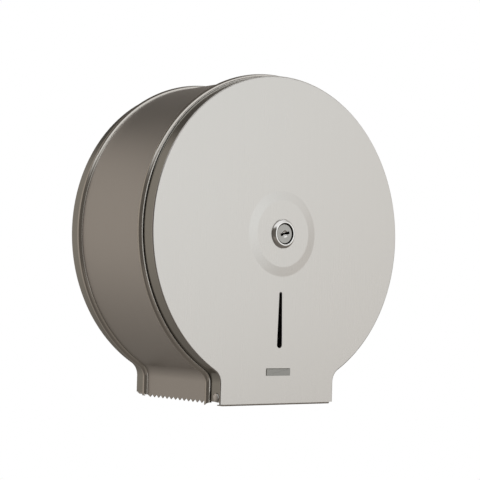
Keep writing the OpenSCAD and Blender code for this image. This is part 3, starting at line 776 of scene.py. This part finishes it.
def core_hub():
    """Hub for the roll's core: a rear flange, and a sleeve with twelve shallow grip grooves."""
    sleeve_r, groove_r, steps, grooves = 22, 21.1, 96, 12
    section = [(18.5, 9.8), (30.6, 9.8), (31, 10.2), (31, 11.4), (30.6, 11.8), (23, 11.8), (22.3, 12.1)]
    section += [(sleeve_r, d) for d in (12.8, 16, 17.5, 91.5, 93, 95.2)] + [(21.6, 96.2), (20.8, 97.2)]
    section += [(18.5, 97.2), (18.5, 89.2), (17.5, 89.2), (17.5, 17.8), (18.5, 17.8)]
    shape = turned(section, steps)
    groove = [vert for vert in shape.verts
              if 17 < -vert.co.y / MM < 92 and math.hypot(vert.co.x, vert.co.z) > 21.9 * MM
              and round(math.atan2(vert.co.x, vert.co.z) / (2 * math.pi) * steps) % (steps // grooves) < 3]
    bmesh.ops.scale(shape, verts=groove, vec=(groove_r / sleeve_r, 1, groove_r / sleeve_r))
    return shape


def slotted_screw(head_r, head_from, head_h, shank_r, shank_from):
    """Pan-headed screw on the spindle's axis, with a straight slot in its head. Sizes are in mm."""
    top = head_from + head_h
    screw = turned([(0, shank_from), (shank_r * 0.6, shank_from), (shank_r, shank_from + 0.5),
                    (shank_r, head_from), (head_r, head_from), (head_r, head_from + head_h * 0.35),
                    (head_r * 0.92, head_from + head_h * 0.7), (head_r * 0.74, top), (0, top)], steps=32)
    reach, half = 0.62 * head_r * MM, 0.14 * head_r * MM
    for side in ((half, 0, 0), (-half, 0, 0), (0, 0, reach), (0, 0, -reach)):
        bmesh.ops.bisect_plane(screw, geom=screw.verts[:] + screw.edges[:] + screw.faces[:],
                               plane_co=side, plane_no=[abs(part) for part in Vector(side).normalized()])
    slot = []
    for face in screw.faces:
        x, y, z = face.calc_center_median()
        if y < (-top + 0.01) * MM and abs(x) < half and abs(z) < reach:
            slot.append(face)
    cut = bmesh.ops.extrude_face_region(screw, geom=slot)["geom"]
    bmesh.ops.translate(screw, verts=verts_in(cut), vec=(0, head_h * 0.55 * MM, 0))
    return screw


def keeper_screws():
    """The two screws of the keeper plate, at places given as x, z and the turn of the slot."""
    both = bmesh.new()
    for x, z, turn in ((-9.5, -15.2, 25), (9.5, -15.2, -40)):
        screw = slotted_screw(head_r=2.1, head_from=108, head_h=1.1, shank_r=0.9, shank_from=102.3)
        stand = Matrix.Translation((x * MM, 0, z * MM)) @ Matrix.Rotation(math.radians(turn), 4, "Y")
        bmesh.ops.transform(screw, matrix=stand, verts=screw.verts[:])
        mesh = bpy.data.meshes.new("screw")
        screw.to_mesh(mesh)
        screw.free()
        both.from_mesh(mesh)
        bpy.data.meshes.remove(mesh)
    return both


# Finishes and the pieces that carry them.

SHEET = brushed_steel("brushed sheet")
STRIP = rolled_steel("brushed strip")
TUBE_STEEL = machined_steel("drawn tube steel")
PLATE_STEEL = machined_steel("stamped steel", lines=(900, 900, 40), rough=0.3)
RIVET_STEEL = machined_steel("rivet steel", lines=(900, 900, 900), rough=0.24)
# Painted highlight: the rivet heads' steel is painted much lighter than the other steels.
HEAD_STEEL = machined_steel("rivet head steel", lines=(700, 700, 700), light=(0.93, 0.92, 0.9),
                            dark=(0.8, 0.79, 0.77), rough=0.34)
CHROME = plated_chrome("plated chrome")
PLUG_METAL = plug_metal("satin plug metal")
NAME_PLATE = grey_plate("bare name plate")
BLACK = moulded_plastic("black moulded plastic", (0.035, 0.035, 0.036), (0.018, 0.018, 0.019))
WHITE = moulded_plastic("white moulded plastic", (0.8, 0.79, 0.75), (0.72, 0.705, 0.66), rough=0.4)
BRASS = cut_brass("turned brass")

# Pieces that keep the part's own shape.
FINISHES = {
    TUBE_STEEL: ["spindle_tube"],
    PLATE_STEEL: ["cam_washer"],
    BLACK: ["hub_bush_rear", "hub_bush_front"],
    WHITE: ["hub_thrust_washer", "hinge_washer_left", "hinge_washer_right"],
    BRASS: ["lock_wafers"],
}
for material, names in FINISHES.items():
    for name in names:
        frame["nodes"][name].data.materials.clear()
        frame["nodes"][name].data.materials.append(material)

side_band()
front_cover()
rear_casing()
finished("badge_plate", NAME_PLATE, name_plate(), "bare_name_plate", edge=0.06, crease=8)
finished("lock_barrel", CHROME, lock_barrel(), "turned_lock_barrel", edge=0.04)
finished("lock_plug", PLUG_METAL, lock_plug(), "turned_lock_plug", edge=0.07)
finished("hinge_rivet_left", HEAD_STEEL, hinge_rivet(-1), "round_head_rivet_left", edge=0.05)
finished("hinge_rivet_right", HEAD_STEEL, hinge_rivet(1), "round_head_rivet_right", edge=0.05)
finished("core_hub", WHITE, core_hub(), "grooved_core_hub", edge=0.1, crease=12)
finished("keeper_screws", RIVET_STEEL, keeper_screws(), "slotted_keeper_screws", edge=0.05)
for name in ("hinge_lug_left", "hinge_lug_right", "spindle_flange", "keeper_plate", "lock_cam",
             "lock_washer"):
    finished(name, PLATE_STEEL)
for name in ("spindle_rivets", "cam_screw"):
    finished(name, RIVET_STEEL)
finished("lock_nut", BRASS, edge=0.3)
finished("keeper_cup", BLACK, edge=0.3)


# Studio. Its cards close a room round the object, which only reflections see.

ROOM_SIDE, ROOM_BACK, ROOM_LOW, ROOM_TOP = 2.2, 0.6, -0.8, 2.4
WINDOW_TOP = 0.95
LEFT_BACK, RIGHT_BACK = (-ROOM_SIDE, ROOM_BACK), (ROOM_SIDE, ROOM_BACK)
LEFT_FRONT, WINDOW_LEFT, WINDOW_RIGHT = (-ROOM_SIDE, -1.6), (-0.2, -2.7), (ROOM_SIDE, -1.4)
FLOOR_HALF, FLOOR_Z = 1.6, -0.95


def level_corners(left, right, front, back, height):
    return [(left, front, height), (right, front, height), (right, back, height), (left, back, height)]


def stage_plane(name, corners, material):
    shape = bmesh.new()
    shape.faces.new([shape.verts.new(corner) for corner in corners])
    mesh = bpy.data.meshes.new(name)
    shape.to_mesh(mesh)
    shape.free()
    mesh.materials.append(material)
    plane = bpy.data.objects.new(name, mesh)
    bpy.context.scene.collection.objects.link(plane)
    return plane


def pale_floor():
    """Floor of the room, as far under the object as a wall-hung one hangs."""
    finish = Finish("pale floor")
    mottle = finish.noise(finish.place(), 6.0, 3.0, 0.5)
    colour = finish.blend(mottle, (0.84, 0.84, 0.835), (0.88, 0.88, 0.875))
    material = finish.surface(base_color=colour, roughness=0.8)
    corners = level_corners(-FLOOR_HALF, FLOOR_HALF, -FLOOR_HALF, FLOOR_HALF, FLOOR_Z)
    stage_plane("floor", corners, material)


def studio_card(name, corners, shades):
    """A card that only reflections see. shades gives its colour from its finish and the point on it."""
    finish = Finish(name)
    finish.surface(base_color=(0, 0, 0, 1), specular_ior_level=0.0, emission_strength=1.0,
                   emission_color=shades(finish, finish.place()))
    card = stage_plane(name, corners, finish.material)
    card.visible_camera = card.visible_diffuse = card.visible_shadow = card.visible_transmission = False


def upright_card(name, start, end, low, high, shades):
    """A studio card that stands on a line from start to end."""
    studio_card(name, [(*start, low), (*end, low), (*end, high), (*start, high)], shades)


def warm(level):
    return (level, level * 0.9, level * 0.8)


def back_shades(finish, where):
    """Mid grey behind the object, dark above it and to its right, and light at the top right."""
    side, height = finish.axis(where, 0), finish.axis(where, 2)
    colour = finish.blend(height.above(0.65, 1.3), warm(0.45), warm(0.12))
    colour = finish.blend((0 - height).above(0.05, 0.7), colour, warm(0.27))
    low = 1 - height.above(0.05, 0.4)
    colour = finish.blend(side.above(-0.45, 0.35) * low * 0.75, colour, warm(0.14))
    over_right = (side.above(-0.38, -0.12) - side.above(0.05, 0.5) * 0.3) * (1 - low)
    colour = finish.blend(over_right, colour, warm(0.12))
    return finish.blend(side.above(0.7, 1.4) * height.above(1.0, 1.7), colour, (1, 1, 1))


def ceiling_shades(finish, where):
    """Dark overhead, and light where it meets the open front and at the right."""
    shade = finish.axis(where, 1).above(-0.62, -0.3) * (1 - finish.axis(where, 0).above(0.6, 1.6))
    return finish.blend(shade, (0.8, 0.8, 0.8), warm(0.11))


def right_shades(finish, where):
    """Light grey, and a little darker below."""
    return finish.blend(finish.axis(where, 2).above(-0.7, 0.9), warm(0.3), (0.8, 0.79, 0.77))


def side_shades(finish, where):
    """Nearly black up to well over the object, and lighter towards the ceiling."""
    return finish.blend(finish.axis(where, 2).above(1.2, 2.5), warm(0.13), (1, 1, 1))


def beside_window_shades(finish, where):
    """As the sides, and lighter towards the window."""
    near_window = finish.axis(where, 0).above(-0.8, -0.2)
    return finish.blend(near_window, side_shades(finish, where), (0.9, 0.89, 0.87))


def window_shades(finish, where):
    """A tall window on the front right: white, a little warm and dim to the right and below."""
    side, height = finish.axis(where, 0), finish.axis(where, 2)
    colour = finish.blend(side.above(0.7, 2.2) * 0.6 + (1 - height.above(-0.7, 0.7)) * 0.4,
                          (1.22, 1.26, 1.27), (0.92, 0.885, 0.846))
    return finish.blend(height.above(-1.0, -0.3), warm(0.4), colour)


def lintel_shades(finish, where):
    """The dark stretch over the window, which ends softly."""
    height = finish.axis(where, 2)
    return finish.blend(height.above(0.95, 1.25) - height.above(1.9, 2.4), (1, 1, 1), warm(0.16))


def low_shades(finish, where):
    """Dark under the object, and lighter at its front left."""
    side, depth = finish.axis(where, 0), finish.axis(where, 1)
    colour = finish.blend(side.above(-1, 1), warm(0.14), warm(0.2))
    return finish.blend((0 - depth).above(0.4, 1.1) * (1 - side.above(-0.1, 0.5)), colour, warm(0.24))


def soft_lamp(name, place, target, size, power):
    lamp = bpy.data.lights.new(name, "AREA")
    lamp.shape, lamp.size, lamp.energy = "DISK", size, power
    holder = bpy.data.objects.new(name, lamp)
    bpy.context.scene.collection.objects.link(holder)
    holder.visible_glossy = False
    holder.location = place
    holder.rotation_mode = "QUATERNION"
    holder.rotation_quaternion = (Vector(target) - Vector(place)).to_track_quat("-Z", "Y")


def white_world(diffuse_level):
    """White wherever the camera, a reflection or clear plastic looks, and dimmer as a lamp."""
    world = bpy.data.worlds.new("white studio")
    bpy.context.scene.world = world
    finish = Finish("white studio", world)
    seen = finish.node("ShaderNodeLightPath", output="Is Camera Ray")
    for ray in ("Is Glossy Ray", "Is Transmission Ray"):
        seen = seen.math("MAXIMUM", seen, finish.node("ShaderNodeLightPath", output=ray))
    strength = diffuse_level + (1 - diffuse_level) * seen
    light = finish.node("ShaderNodeBackground", None, {"Color": (1, 1, 1, 1), "Strength": strength})
    finish.node("ShaderNodeOutputWorld", None, {"Surface": light})


pale_floor()
white_world(0.75)
upright_card("back_card", LEFT_BACK, RIGHT_BACK, ROOM_LOW, ROOM_TOP, back_shades)
studio_card("ceiling_card", level_corners(-ROOM_SIDE, ROOM_SIDE, -0.6, ROOM_BACK, ROOM_TOP),
            ceiling_shades)
upright_card("left_card", LEFT_BACK, LEFT_FRONT, ROOM_LOW, ROOM_TOP, side_shades)
upright_card("front_left_card", LEFT_FRONT, WINDOW_LEFT, ROOM_LOW, ROOM_TOP, beside_window_shades)
upright_card("window_card", WINDOW_LEFT, WINDOW_RIGHT, ROOM_LOW, WINDOW_TOP, window_shades)
upright_card("lintel_card", WINDOW_LEFT, WINDOW_RIGHT, WINDOW_TOP, ROOM_TOP, lintel_shades)
upright_card("right_card", WINDOW_RIGHT, RIGHT_BACK, ROOM_LOW, ROOM_TOP, right_shades)
studio_card("low_card", level_corners(-ROOM_SIDE, ROOM_SIDE, -2.7, ROOM_BACK, ROOM_LOW), low_shades)
soft_lamp("key lamp", (0.7, -1.8, 1.5), (0, -0.06, 0), 2.0, 13)
soft_lamp("fill lamp", (-1.3, -1.2, 1.4), (0, -0.06, 0), 1.3, 5)


# Camera, where the photograph was taken from. Its angles, in radians, are its turn about Z, its tilt
# upwards and its roll.

CAMERA_TURN, CAMERA_TILT, CAMERA_ROLL = -0.6698, 0.0427, -0.0277

camera_data = bpy.data.cameras.new("camera")
camera_data.sensor_width = 36
camera_data.lens = 109.556
camera = bpy.data.objects.new("camera", camera_data)
bpy.context.scene.collection.objects.link(camera)
bpy.context.scene.camera = camera
camera.location = (-0.79664, -1.07169, -0.05913)
camera.rotation_mode = "QUATERNION"
camera.rotation_quaternion = (
    Matrix.Rotation(CAMERA_TURN, 3, "Z")
    @ Matrix.Rotation(CAMERA_TILT, 3, "X")
    @ Matrix.Rotation(CAMERA_ROLL, 3, "Y")
    @ Matrix.Rotation(math.pi / 2, 3, "X")
).to_quaternion()

bpy.context.scene.view_settings.view_transform = "Standard"
